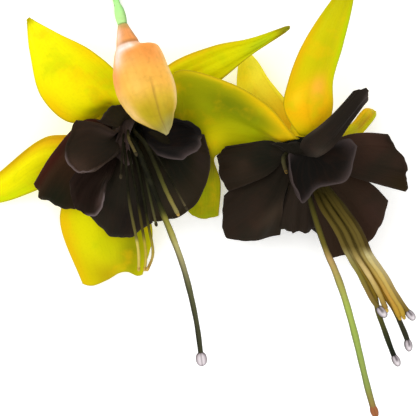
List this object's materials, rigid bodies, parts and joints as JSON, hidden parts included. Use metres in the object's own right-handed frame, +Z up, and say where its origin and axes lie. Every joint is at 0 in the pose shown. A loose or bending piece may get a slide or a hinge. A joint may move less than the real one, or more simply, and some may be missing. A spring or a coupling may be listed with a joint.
{
  "type": "fuchsia spray",
  "caption": "Cut spray of a trailing double fuchsia lying flat: near-black ruffled blooms with yellow sepals and long stamens, and a peach bud, on a short stem.",
  "frame": {"origin": "centre of the footprint, on the surface that the spray lies on", "axes": "+Z up from the surface, the shortest way through the lying spray; -Y the way the blooms hang; +X along the stem from the bud's side to the other"},
  "size_m": [0.1096, 0.119, 0.0358],
  "materials": {
    "sepal": "satin",
    "petal": "satin",
    "filament": "satin",
    "style": "satin",
    "bud": "satin",
    "stalk": "satin",
    "stem": "matte"
  },
  "bodies": {
    "root": {"left_calyx": "sepal", "left_corolla": "petal", "left_stamens": "filament", "left_pistil": "style", "left_stalk": "stalk", "right_calyx": "sepal", "right_corolla": "petal", "right_stamens": "filament", "right_pistil": "style", "right_stalk": "stalk", "bud": "bud", "bud_stalk": "stalk", "stem": "stem"}
  },
  "joints": []
}
